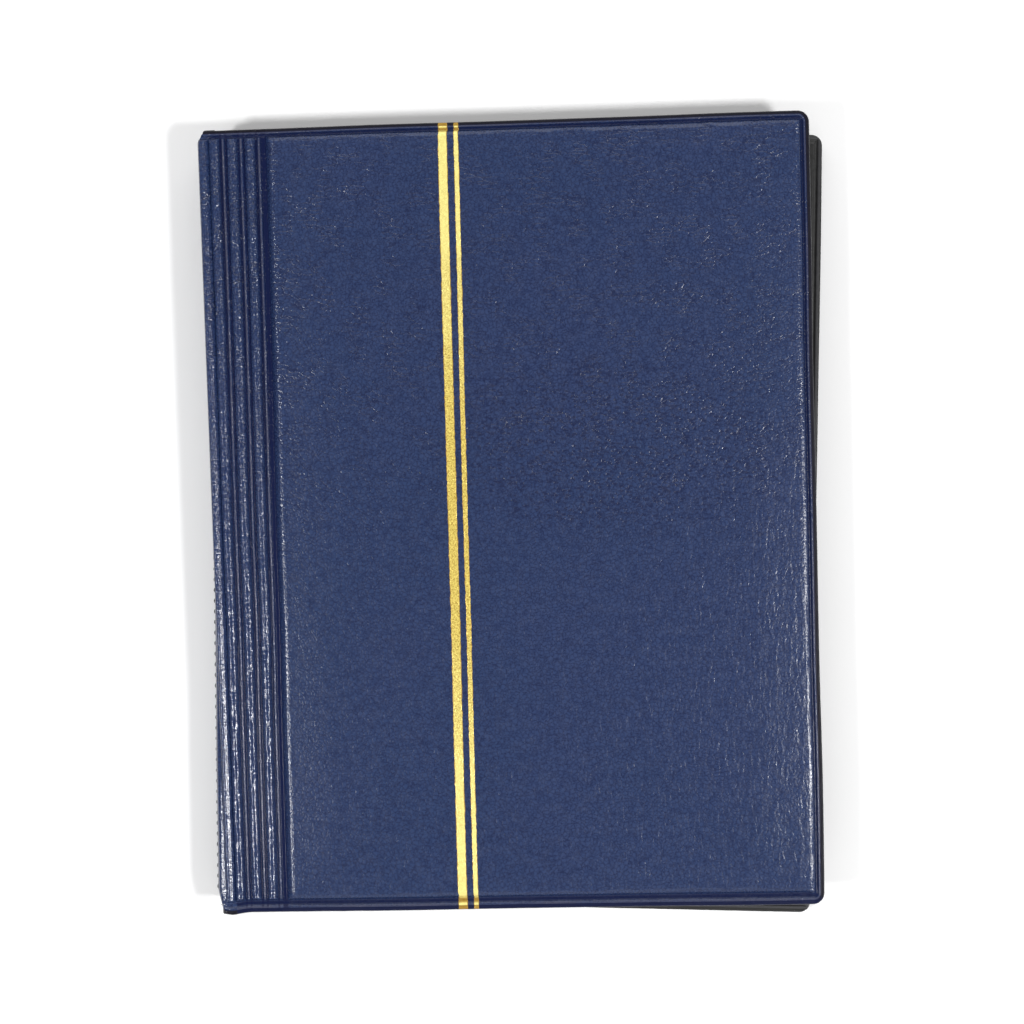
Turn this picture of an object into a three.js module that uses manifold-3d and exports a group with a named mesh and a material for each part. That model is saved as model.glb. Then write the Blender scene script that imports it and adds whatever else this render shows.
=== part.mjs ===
// A small pocket stock book for stamps: two padded vinyl covers with ribbed hinges, a soft spine
// and a block of black card leaves with clear pocket strips and glassine sheets between them.
//
// Millimetres. X runs from the spine (-X) to the fore-edge (+X), Y up the page and Z from the
// outside of the back cover (Z = 0) to the outside of the front cover. The origin is the middle
// of the closed book on its rest face.

import * as THREE from 'three';
import { mergeVertices } from 'three/addons/utils/BufferGeometryUtils.js';
import Module from 'manifold-3d';

const wasm = await Module();
wasm.setup();

// ---------- driving dimensions ----------

const BOOK_THICKNESS = 17;
const COVER_WIDTH = 165;
const COVER_HEIGHT = 215;
const CORNER_RADIUS = 3;

// The limp spine lets the covers lie a little askew of each other, one turned each way.
const COVER_SKEW = THREE.MathUtils.degToRad(1.05);
const COVER_SHIFT_X = 0.6;
const COVER_SHIFT_Y = 0.85;

// Layers of a cover, from its outside inwards, with a glue line between them.
const SKIN_THICKNESS = 0.45;
const FOAM_THICKNESS = 0.8;
const BOARD_THICKNESS = 1.6;
const LINING_THICKNESS = 0.35;
const GLUE_LINE = 0.1;
const COVER_THICKNESS = SKIN_THICKNESS + FOAM_THICKNESS + BOARD_THICKNESS + LINING_THICKNESS + 3 * GLUE_LINE;

// The welded rim stands lower than the padded panel inside it.
const RIM_WIDTH = 3.6;
const RIM_DROP = 1.2;
const PANEL_BEVEL = 0.8;
const POCKET_WALL = 1;
const SIDE_CLEARANCE = 0.3;

// The ribbed hinge: wide ribs with a narrow bead in the groove beside each.
const HINGE_ZONE_WIDTH = 19.2;
const RIB_PITCH = 4.75;
const RIB_FIRST = 4.4;
const RIB_RADIUS = 1.15;
const BEAD_OFFSET = 2.3;
const BEAD_RADIUS = 0.4;
const RIB_COUNT = 3;
const ROUND_SIDES = 16;

// Two gold lines stamped from head to foot, measured from the spine edge of the front cover.
const STRIPES = [
  { name: 'gold_stripe_wide', centre: 65.5, width: 2.3 },
  { name: 'gold_stripe_narrow', centre: 69.2, width: 1.1 },
];
const STRIPE_THICKNESS = 0.06;
const STRIPE_GAP = 0.04;

// The covers fold on two lines parallel to Y, at the lower and upper corners of the spine.
const HINGE_X = -82.75;
const HINGE_DEPTH = 1.5;
const FOLD_CLEARANCE = 0.4;

// Layers of the spine, as distances along X from the fold lines.
const SPINE_LAYERS = [
  { name: 'spine_vinyl', from: -1, to: -0.6, foot: 1.8, height: 213, material: 'vinyl' },
  { name: 'spine_stiffener', from: -0.5, to: 0.1, foot: 2.2, height: 208, material: 'board' },
  { name: 'spine_lining', from: 0.2, to: 0.5, foot: 3.9, height: 210, material: 'lining' },
  { name: 'binding_tape', from: 0.6, to: 1.1, foot: 4.4, height: 200, material: 'linen' },
];

// The toothed weld seam that runs down the outside of the spine.
const TOOTH_PITCH = 2.96;
const TOOTH_COUNT = 70;
const TOOTH_LENGTH = 1.5;
const TOOTH_HEIGHT = 0.32;
const SEAM_BACK = -1.05;
const SEAM_BAND = 0.13;
const SEAM_WIDTH = 1.4;

// The block of leaves turns about one line parallel to Y, at half the height of the block.
const LEAF_COUNT = 8;
const LEAF_PITCH = 1.25;
const LEAF_AXIS_X = -80.7;
const LEAF_ROOT_X = LEAF_AXIS_X + 0.4;
const LEAF_EDGE_X = 77;
const LEAF_HEIGHT = 205;
const CARD_START_X = -63.2;
const CARD_THICKNESS = 0.4;
const LINEN_THICKNESS = 0.3;

// Clear strips, each glued along its foot and open at its head, overlap like roof tiles.
const STRIP_COUNT = 8;
const STRIP_LEFT_X = -60;
const STRIP_RIGHT_X = 75;
const STRIP_ROWS_HEIGHT = 198;
const STRIP_THIN = 0.08;
const STRIP_THICK = 0.25;
const STRIP_GAP = 0.05;

const GLASSINE_THICKNESS = 0.08;
const GLASSINE_LEFT_X = -78;
const GLASSINE_RIGHT_X = 75;
const GLASSINE_HEIGHT = 202;

const FAR = 400;

// ---------- materials ----------

const FINISHES = {
  vinyl: { color: 0x384569, roughness: 0.42, metalness: 0 },
  gold: { color: 0xe3bd45, roughness: 0.3, metalness: 1 },
  foam: { color: 0xd9d6cc, roughness: 0.95, metalness: 0 },
  board: { color: 0x8d8474, roughness: 0.9, metalness: 0 },
  lining: { color: 0x1b1c1f, roughness: 0.6, metalness: 0 },
  linen: { color: 0x202124, roughness: 0.9, metalness: 0 },
  seam: { color: 0x2a2d3c, roughness: 0.45, metalness: 0 },
  card: { color: 0x141416, roughness: 0.85, metalness: 0 },
  film: { color: 0xc9d2d6, roughness: 0.12, metalness: 0 },
  glassine: { color: 0xe6e4d6, roughness: 0.5, metalness: 0 },
};

function materialFor(finish) {
  return new THREE.MeshStandardMaterial(FINISHES[finish]);
}

// ---------- solids ----------

function toSolid(geometry) {
  const bare = geometry.clone();
  bare.deleteAttribute('normal');
  bare.deleteAttribute('uv');
  const merged = mergeVertices(bare);
  const vertProperties = new Float32Array(merged.attributes.position.array);
  const triVerts = new Uint32Array(merged.index.array);
  return new wasm.Manifold(new wasm.Mesh({ numProp: 3, vertProperties, triVerts }));
}

function toGeometry(solid) {
  const { vertProperties, triVerts } = solid.getMesh();
  const geometry = new THREE.BufferGeometry();
  geometry.setAttribute('position', new THREE.BufferAttribute(vertProperties, 3));
  geometry.setIndex(new THREE.BufferAttribute(triVerts, 1));
  geometry.computeVertexNormals();
  return geometry;
}

// A box given by its lowest and highest corners.
function boxBetween(low, high) {
  const size = high.map((value, axis) => value - low[axis]);
  const box = new THREE.BoxGeometry(...size);
  box.translate(...low.map((value, axis) => value + size[axis] / 2));
  return box;
}

function roundedRectangle(left, bottom, right, top, radius) {
  const outline = new THREE.Shape();
  outline.moveTo(left + radius, bottom);
  outline.lineTo(right - radius, bottom);
  outline.absarc(right - radius, bottom + radius, radius, -Math.PI / 2, 0, false);
  outline.lineTo(right, top - radius);
  outline.absarc(right - radius, top - radius, radius, 0, Math.PI / 2, false);
  outline.lineTo(left + radius, top);
  outline.absarc(left + radius, top - radius, radius, Math.PI / 2, Math.PI, false);
  outline.lineTo(left, bottom + radius);
  outline.absarc(left + radius, bottom + radius, radius, Math.PI, Math.PI * 1.5, false);
  return outline;
}

function addMesh(group, name, geometry, finish) {
  const mesh = new THREE.Mesh(geometry, materialFor(finish));
  mesh.name = name;
  group.add(mesh);
  return mesh;
}

// ---------- covers ----------

// A cover is drawn in its own frame, centred on the cover's outline. A depth is a distance from
// the cover's outer face inwards, so the same layers serve the front and the back.
class Cover {
  constructor(side) {
    this.isFront = side === 'front';
    this.left = -COVER_WIDTH / 2;
    this.right = COVER_WIDTH / 2;
    this.top = COVER_HEIGHT / 2;
    this.group = new THREE.Group();
    const turn = this.isFront ? 1 : -1;
    this.group.rotation.z = turn * COVER_SKEW;
    this.group.position.set(-turn * COVER_SHIFT_X, turn * COVER_SHIFT_Y, 0);
    this.group.updateMatrixWorld();
  }

  height(depth) {
    return this.isFront ? BOOK_THICKNESS - depth : depth;
  }

  // The lowest and highest Z of a layer between two depths.
  span(outer, inner) {
    return [this.height(outer), this.height(inner)].sort((a, b) => a - b);
  }

  slab(outline, outer, inner) {
    const [low, high] = this.span(outer, inner);
    const geometry = new THREE.ExtrudeGeometry(outline, { depth: high - low, bevelEnabled: false, curveSegments: 5 });
    geometry.translate(0, 0, low);
    return toSolid(geometry);
  }

  // The outline of the cover, drawn in from its edge by the given inset.
  outline(inset) {
    const radius = Math.max(CORNER_RADIUS - inset, 0.5);
    return roundedRectangle(this.left + inset, -this.top + inset, this.right - inset, this.top - inset, radius);
  }

  // The padded panel between the ribbed hinge and the rim, drawn in by the given inset.
  panelOutline(inset) {
    const left = this.left + HINGE_ZONE_WIDTH + inset;
    const margin = RIM_WIDTH + inset;
    return roundedRectangle(left, -this.top + margin, this.right - margin, this.top - margin, 1);
  }

  // Everything stops short of the fold line, so that the cover can swing.
  clearOfFold(solid) {
    const fold = HINGE_X + FOLD_CLEARANCE;
    const beyond = boxBetween([-FAR, -FAR, -FAR], [fold, FAR, FAR]);
    beyond.applyMatrix4(this.group.matrixWorld.clone().invert());
    return solid.subtract(toSolid(beyond));
  }

  // The panel with its edges rounded over towards the rim.
  paddedPanel() {
    const [low, high] = this.span(0, RIM_DROP + PANEL_BEVEL);
    const geometry = new THREE.ExtrudeGeometry(this.panelOutline(PANEL_BEVEL), {
      depth: high - low - 2 * PANEL_BEVEL,
      bevelThickness: PANEL_BEVEL,
      bevelSize: PANEL_BEVEL,
      bevelSegments: 3,
      curveSegments: 4,
    });
    geometry.translate(0, 0, low + PANEL_BEVEL);
    return toSolid(geometry);
  }

  // A round bar parallel to Y, half sunk in the hinge zone.
  bar(distance, radius, depth) {
    const length = COVER_HEIGHT - 2 * RIM_WIDTH;
    const geometry = new THREE.CylinderGeometry(radius, radius, length, ROUND_SIDES);
    geometry.translate(this.left + distance, 0, this.height(depth));
    return toSolid(geometry);
  }

  ribs() {
    const bars = [];
    for (let i = 0; i < RIB_COUNT; i += 1) {
      const distance = RIB_FIRST + i * RIB_PITCH;
      bars.push(this.bar(distance, RIB_RADIUS, RIM_DROP + RIB_RADIUS * 0.25));
      bars.push(this.bar(distance + BEAD_OFFSET, BEAD_RADIUS, RIM_DROP));
    }
    return bars;
  }

  vinyl() {
    const inside = COVER_THICKNESS - LINING_THICKNESS - GLUE_LINE;
    const pocket = this.slab(this.panelOutline(POCKET_WALL), SKIN_THICKNESS, inside + 1);
    let skin = this.slab(this.outline(0), RIM_DROP, inside).add(this.paddedPanel());
    for (const rib of this.ribs()) skin = skin.add(rib);
    return this.clearOfFold(skin.subtract(pocket));
  }

  foam() {
    const outer = SKIN_THICKNESS + GLUE_LINE;
    return this.slab(this.panelOutline(POCKET_WALL + SIDE_CLEARANCE), outer, outer + FOAM_THICKNESS);
  }

  board() {
    const inner = COVER_THICKNESS - LINING_THICKNESS - GLUE_LINE;
    return this.slab(this.panelOutline(POCKET_WALL + SIDE_CLEARANCE), inner - BOARD_THICKNESS, inner);
  }

  lining() {
    const outer = COVER_THICKNESS - LINING_THICKNESS;
    return this.clearOfFold(this.slab(this.outline(SIDE_CLEARANCE), outer, COVER_THICKNESS));
  }

  build() {
    const prefix = this.isFront ? 'front_cover' : 'back_cover';
    addMesh(this.group, `${prefix}_vinyl`, toGeometry(this.vinyl()), 'vinyl');
    addMesh(this.group, `${prefix}_foam`, toGeometry(this.foam()), 'foam');
    addMesh(this.group, `${prefix}_board`, toGeometry(this.board()), 'board');
    addMesh(this.group, `${prefix}_lining`, toGeometry(this.lining()), 'lining');
    return this.group;
  }
}

function frontCover() {
  const cover = new Cover('front');
  const group = cover.build();
  const reach = cover.top - RIM_WIDTH - PANEL_BEVEL;
  const low = BOOK_THICKNESS + STRIPE_GAP;
  for (const { name, centre, width } of STRIPES) {
    const middle = cover.left + centre;
    const geometry = boxBetween(
      [middle - width / 2, -reach, low],
      [middle + width / 2, reach, low + STRIPE_THICKNESS],
    );
    addMesh(group, name, geometry, 'gold');
  }
  return group;
}

function backCover() {
  return new Cover('back').build();
}

// ---------- spine ----------

// The seam's outline lies in the XY plane: a flat band with round-topped teeth facing -X.
function seamOutline() {
  const outline = new THREE.Shape();
  const face = SEAM_BACK - SEAM_BAND;
  const end = (TOOTH_COUNT * TOOTH_PITCH) / 2;
  outline.moveTo(SEAM_BACK, -end);
  outline.lineTo(SEAM_BACK, end);
  outline.lineTo(face, end);
  for (let i = TOOTH_COUNT - 1; i >= 0; i -= 1) {
    const middle = (i + 0.5) * TOOTH_PITCH - end;
    const half = TOOTH_LENGTH / 2;
    outline.lineTo(face, middle + half);
    outline.quadraticCurveTo(face - 2 * TOOTH_HEIGHT, middle, face, middle - half);
  }
  outline.lineTo(face, -end);
  return outline;
}

function spineSeam() {
  const geometry = new THREE.ExtrudeGeometry(seamOutline(), {
    depth: SEAM_WIDTH,
    bevelEnabled: false,
    curveSegments: 4,
  });
  geometry.translate(0, 0, (BOOK_THICKNESS - SEAM_WIDTH) / 2);
  return geometry;
}

function spine() {
  const group = new THREE.Group();
  group.position.x = HINGE_X;
  for (const { name, from, to, foot, height, material } of SPINE_LAYERS) {
    const geometry = boxBetween([from, -height / 2, foot], [to, height / 2, BOOK_THICKNESS - foot]);
    addMesh(group, name, geometry, material);
  }
  addMesh(group, 'spine_seam', spineSeam(), 'seam');
  return group;
}

// ---------- leaves ----------

// One side's clear strips: a saw-tooth section in the YZ plane, carried along X. Each strip is
// thin at its glued foot and thick at its open head, where it laps over the strip above.
function pocketStrips() {
  const section = new THREE.Shape();
  const foot = -STRIP_ROWS_HEIGHT / 2;
  const row = STRIP_ROWS_HEIGHT / STRIP_COUNT;
  section.moveTo(foot, 0);
  for (let i = 0; i < STRIP_COUNT; i += 1) {
    section.lineTo(foot + i * row, STRIP_THIN);
    section.lineTo(foot + (i + 1) * row, STRIP_THICK);
  }
  section.lineTo(foot + STRIP_ROWS_HEIGHT, 0);
  const geometry = new THREE.ExtrudeGeometry(section, {
    depth: STRIP_RIGHT_X - STRIP_LEFT_X,
    bevelEnabled: false,
  });
  // The section's X becomes the leaf's Y, its Y becomes Z and the extrusion runs along X.
  geometry.applyMatrix4(new THREE.Matrix4().makeBasis(
    new THREE.Vector3(0, 1, 0),
    new THREE.Vector3(0, 0, 1),
    new THREE.Vector3(1, 0, 0),
  ));
  geometry.translate(STRIP_LEFT_X, 0, CARD_THICKNESS / 2 + STRIP_GAP);
  return geometry;
}

function sheet(left, right, height, thickness) {
  return boxBetween([left, -height / 2, -thickness / 2], [right, height / 2, thickness / 2]);
}

function leaf(number) {
  const group = new THREE.Group();
  group.position.z = BOOK_THICKNESS / 2 + ((LEAF_COUNT + 1) / 2 - number) * LEAF_PITCH;
  const prefix = `leaf_${number}`;
  const linenEnd = CARD_START_X - SIDE_CLEARANCE;
  addMesh(group, `${prefix}_card`, sheet(CARD_START_X, LEAF_EDGE_X, LEAF_HEIGHT, CARD_THICKNESS), 'card');
  addMesh(group, `${prefix}_hinge`, sheet(LEAF_ROOT_X, linenEnd, LEAF_HEIGHT, LINEN_THICKNESS), 'linen');
  addMesh(group, `${prefix}_front_pockets`, pocketStrips(), 'film');
  const back = addMesh(group, `${prefix}_back_pockets`, pocketStrips(), 'film');
  // Half a turn about Y sets the strips on the far side, and the shift brings them back in line.
  back.rotation.y = Math.PI;
  back.position.x = STRIP_LEFT_X + STRIP_RIGHT_X;
  return group;
}

function glassine(number) {
  const geometry = sheet(GLASSINE_LEFT_X, GLASSINE_RIGHT_X, GLASSINE_HEIGHT, GLASSINE_THICKNESS);
  const group = new THREE.Group();
  group.position.z = BOOK_THICKNESS / 2 + (LEAF_COUNT / 2 - number) * LEAF_PITCH;
  addMesh(group, `glassine_${number}`, geometry, 'glassine');
  return group;
}

// ---------- the book ----------

const album = new THREE.Group();
album.add(backCover(), spine(), frontCover());
for (let number = 1; number <= LEAF_COUNT; number += 1) album.add(leaf(number));
for (let number = 1; number < LEAF_COUNT; number += 1) album.add(glassine(number));

export default album;
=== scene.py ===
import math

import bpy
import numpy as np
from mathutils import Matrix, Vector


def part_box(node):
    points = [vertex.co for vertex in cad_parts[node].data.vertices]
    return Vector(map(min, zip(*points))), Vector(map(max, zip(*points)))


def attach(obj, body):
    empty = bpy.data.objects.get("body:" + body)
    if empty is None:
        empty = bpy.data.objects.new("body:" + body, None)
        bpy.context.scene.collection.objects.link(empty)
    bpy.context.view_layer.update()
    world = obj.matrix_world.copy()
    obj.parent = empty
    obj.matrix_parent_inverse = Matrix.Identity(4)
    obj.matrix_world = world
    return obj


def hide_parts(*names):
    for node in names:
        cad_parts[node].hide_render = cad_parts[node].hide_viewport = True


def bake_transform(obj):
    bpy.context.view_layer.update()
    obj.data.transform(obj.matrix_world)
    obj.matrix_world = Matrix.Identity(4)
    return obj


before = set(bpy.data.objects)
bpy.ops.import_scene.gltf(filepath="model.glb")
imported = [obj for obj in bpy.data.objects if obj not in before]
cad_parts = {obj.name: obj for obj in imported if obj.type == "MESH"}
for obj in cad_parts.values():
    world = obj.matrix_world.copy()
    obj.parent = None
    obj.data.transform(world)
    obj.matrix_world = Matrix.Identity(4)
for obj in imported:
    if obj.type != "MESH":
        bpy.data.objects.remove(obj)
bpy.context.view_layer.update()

# The looks of a small padded stamp stock book: vinyl covers with a ribbed hinge and gold foil,
# black card leaves with clear pocket strips, linen hinges and glassine sheets.
#
# Geometry is worked out in millimetres in each cover's own frame, and new_piece() turns it into
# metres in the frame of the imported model.

# ---------- sizes, in millimetres ----------

MM = 0.001
THICKNESS = round(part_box("front_cover_vinyl")[1].z / MM, 3)
WIDTH, HEIGHT = 165.0, 215.0
CORNER = 3.0
SKEW = math.radians(1.05)
SHIFT_X, SHIFT_Y = 0.6, 0.85
COVER_THICKNESS = 3.5
LINING_DEPTH = 3.12

# Places across the welded rim by distance in from the outline: 0 at the outline, 1 on the ridge, 2 where
# the padded panel is reached and 3 well inside it.
RIM_AT = {
    "head": ((0, 0), (1.1, 1), (2.7, 2), (8, 3), (300, 3)),
    "foot": ((0, 0), (1.45, 1), (4.1, 2), (9.5, 3), (300, 3)),
    "fore": ((0, 0), (1.25, 1), (2.8, 2), (8, 3), (300, 3)),
}
# Depth of a cover's surface below its outer face, at places across the rim.
RIM_PROFILE = (
    (0.0, 1.95), (0.1, 1.62), (0.35, 1.5), (0.7, 1.62), (0.86, 1.36), (1.0, 1.2), (1.14, 1.36),
    (1.3, 1.74), (1.5, 1.8), (1.7, 1.72), (1.8, 1.35), (1.88, 0.86), (1.95, 0.46), (2.02, 0.24),
    (2.12, 0.12), (2.35, 0.05), (3.0, 0.0),
)
# The side of the welded rim, as outward steps and depths from the outline's edge.
RIM_SIDE = ((0.1, 2.25), (0.12, 2.6), (0.0, 2.95), (-0.4, 3.08), (-2.6, 3.1))
# The panel's rise from the last groove of the hinge, by distance from the spine edge.
PANEL_RISE = (
    (16.9, 1.58), (17.6, 1.62), (18.05, 1.3), (18.5, 0.7), (18.9, 0.36), (19.3, 0.14), (20.2, 0.04),
    (25.0, 0.0),
)
GROOVE_DEPTH = 1.58
RIB_CENTRES = (4.25, 8.95, 13.65)
RIB_HALF_WIDTH = 1.42
RIB_RISE = 1.2
BEAD_OFFSET = 2.35
BEAD_HALF_WIDTH = 0.5
BEAD_RISE = 0.62
TICK_PITCH = 1.48
PUCKER_PITCH = 0.98

# A cover's skin is made of three pieces that meet in grooves: wrap, ribs and panel.
WRAP_END = 2.95
RIBS_END = 17.1
PANEL_STEP = 1.0
ROW_STEP = 0.5
RIB_STEP = 0.2
RIM_STEP = 0.22

HINGE_X = -82.75
WALL_X = -83.75
SEAM_HALF = 0.7
TOOTH_PITCH = 2.96
TOOTH_COUNT = 70

STRIPES = (("gold_stripe_wide", 66.2, 2.35), ("gold_stripe_narrow", 69.8, 1.15))

LEAF_COUNT = 8
LEAF_PITCH = 1.25
LEAF_ROOT_X = -80.3
LEAF_EDGE_X = 77.0
LEAF_HEIGHT = 205.0


# ---------- smooth random values ----------

def ramp(low, high, value):
    """0 below low, 1 above high and a smooth curve between."""
    t = np.clip((value - low) / (high - low), 0, 1)
    return t * t * (3 - 2 * t)


def noise(u, v, seed):
    """Smooth random values from -1 to 1 that change over one unit of u and v."""
    table = np.random.default_rng(seed).uniform(-1, 1, (128, 128))
    cell_u, cell_v = np.floor(u).astype(int), np.floor(v).astype(int)
    fu, fv = u - cell_u, v - cell_v
    fu, fv = fu * fu * (3 - 2 * fu), fv * fv * (3 - 2 * fv)

    def corner(du, dv):
        return table[(cell_u + du) % 128, (cell_v + dv) % 128]

    low = corner(0, 0) * (1 - fu) + corner(1, 0) * fu
    high = corner(0, 1) * (1 - fu) + corner(1, 1) * fu
    return low * (1 - fv) + high * fv


def fractal(u, v, seed, octaves=3):
    total = 0
    for i in range(octaves):
        total = total + noise(u * 2 ** i, v * 2 ** i, seed + i) / 2 ** i
    return total / (2 - 2 / 2 ** octaves)


# ---------- meshes ----------

def grid_faces(rows, columns, flip=False):
    """Quads of a grid whose points run along each row in turn."""
    i, j = np.meshgrid(np.arange(rows - 1), np.arange(columns - 1), indexing="ij")
    first = (i * columns + j).ravel()
    quads = np.stack([first, first + 1, first + columns + 1, first + columns], 1)
    return quads[:, ::-1] if flip else quads


def new_piece(name, points, faces, material, body=None, replaces=(), finish=None):
    """A mesh from points in millimetres. The materials read the points, and the finish values at each."""
    mesh = bpy.data.meshes.new(name)
    mesh.from_pydata(np.asarray(points) * MM, [], [tuple(int(i) for i in face) for face in faces])
    mesh.update()
    mesh.polygons.foreach_set("use_smooth", np.ones(len(mesh.polygons), bool))
    grain = mesh.attributes.new("grain_at", "FLOAT_VECTOR", "POINT")
    grain.data.foreach_set("vector", np.asarray(points, np.float32).ravel())
    for key, values in (finish or {}).items():
        stored = mesh.attributes.new(key, "FLOAT", "POINT")
        stored.data.foreach_set("value", np.asarray(values, np.float32).ravel())
    mesh.materials.append(material)
    piece = bpy.data.objects.new(name, mesh)
    bpy.context.scene.collection.objects.link(piece)
    if body:
        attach(piece, body)
    if replaces:
        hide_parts(*replaces)
    return piece


# Values the materials read at each point: how far it is welded flat, which also sets where shade is painted,
# and where a highlight is painted along a ridge.
FINISH = ("weld", "ridge")


class Patch:
    """Gathers grids of points into one mesh, and joins points that coincide."""

    def __init__(self):
        self.points = []
        self.faces = []
        self.finish = {name: [] for name in FINISH}
        self.count = 0

    def add(self, points, rows, columns, flip=False, **finish):
        self.points.append(np.asarray(points, float).reshape(-1, 3))
        self.faces.append(grid_faces(rows, columns, flip) + self.count)
        for name in FINISH:
            self.finish[name].append(np.broadcast_to(finish.get(name, 0.0), (rows, columns)).ravel())
        self.count += rows * columns

    def merged(self):
        """The points, the faces and the finish values of everything added."""
        points, faces = np.concatenate(self.points), np.concatenate(self.faces)
        keys = np.round(points / 1e-4).astype(np.int64)
        _, first, inverse = np.unique(keys, axis=0, return_index=True, return_inverse=True)
        faces = inverse.ravel()[faces]
        kept = []
        for face in faces:
            ring = list(dict.fromkeys(face.tolist()))
            if len(ring) > 2:
                kept.append(ring)
        finish = {name: np.concatenate(values)[first] for name, values in self.finish.items()}
        return points[first], kept, finish


# ---------- the surface of a cover ----------

def spaced(start, end, step):
    return np.linspace(start, end, max(2, round(abs(end - start) / step) + 1))


def edge_lines(step):
    """Grid lines up the page: fine across the rims at the foot and the head."""
    half, fine = HEIGHT / 2, 6.5
    foot = spaced(-half, -half + fine, RIM_STEP)
    middle = spaced(-half + fine, half - fine, step)
    return np.concatenate([foot, middle[1:-1], -foot[::-1]])


def bump_at(distance, half_width, power=0.75):
    return np.clip(1 - (distance / half_width) ** 2, 0, None) ** power


def hinge_depth(a, y):
    """Depth across the ribbed hinge, a millimetres from the spine edge."""
    a = a + 0.12 * noise(y / 28, a / 40, 5)
    height = np.zeros_like(a)
    for i, centre in enumerate(RIB_CENTRES):
        rough = 1 + 0.09 * fractal(y / 3.2, a / 1.1 + 7 * i, 20 + i, 2) + 0.05 * noise(y / 14, a * 0 + i, 31)
        rough = rough + 0.05 * noise(y / 0.9, a / 0.5, 28 + i)
        height = np.maximum(height, RIB_RISE * rough * bump_at(a - centre, RIB_HALF_WIDTH, 0.5))
        bead = 1 + 0.1 * noise(y / 9, a * 0 + i, 37)
        height = np.maximum(height, BEAD_RISE * bead * bump_at(a - centre - BEAD_OFFSET, BEAD_HALF_WIDTH))
        notch = np.clip(np.cos(2 * np.pi * (y / TICK_PITCH + 0.3 * i)), 0, 1) ** 3
        side = bump_at(a - centre - 0.95, 0.45) + 0.7 * bump_at(a - centre + 1.0, 0.4)
        height = height - 0.17 * notch * side * (0.6 + 0.5 * noise(y / 6, a * 0 + i, 41))
    rise = np.interp(a, *zip(*PANEL_RISE))
    notch = np.clip(np.cos(2 * np.pi * y / TICK_PITCH), 0, 1) ** 3
    rise = rise + 0.26 * notch * bump_at(a - 18.8, 0.9) * (0.75 + 0.4 * noise(y / 5, a * 0, 43))
    return np.where(a < 16.9, GROOVE_DEPTH - height, rise)


def rim_depth(place, along):
    """Depth at a place across the rim, with small puckers where the padding starts."""
    pucker = 0.5 + 0.5 * np.cos(2 * np.pi * along / PUCKER_PITCH + 2.2 * noise(along / 4, along * 0, 51))
    strength = 0.2 + 0.12 * noise(along / 7, along * 0, 53)
    depth = np.interp(place, *zip(*RIM_PROFILE))
    return depth + strength * pucker * bump_at(place - 2.0, 0.17)


def padding(a, y, front):
    """How far the padded panel swells past its flat face, with soft hollows and creases."""
    inside = ramp(19, 33, a) * ramp(0, 14, WIDTH - 4 - a) * ramp(0, 14, HEIGHT / 2 - 4 - np.abs(y))
    hollow = 0.10 * fractal(a / 30, y / 34, 61)
    across = fractal(a / 7.5, y / 2.4, 63) * ramp(-10, 40, y)
    down = fractal(a / 2.4, y / 8, 65) * ramp(20, 120, a - 0.5 * y)
    creases = 0.030 * across + 0.034 * down
    swell = 0.22 if front else 0.0
    gain = 1.0 if front else -0.25
    return inside * (swell + gain * (hollow + creases)) + (0 if front else 0.03 * inside)


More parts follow.
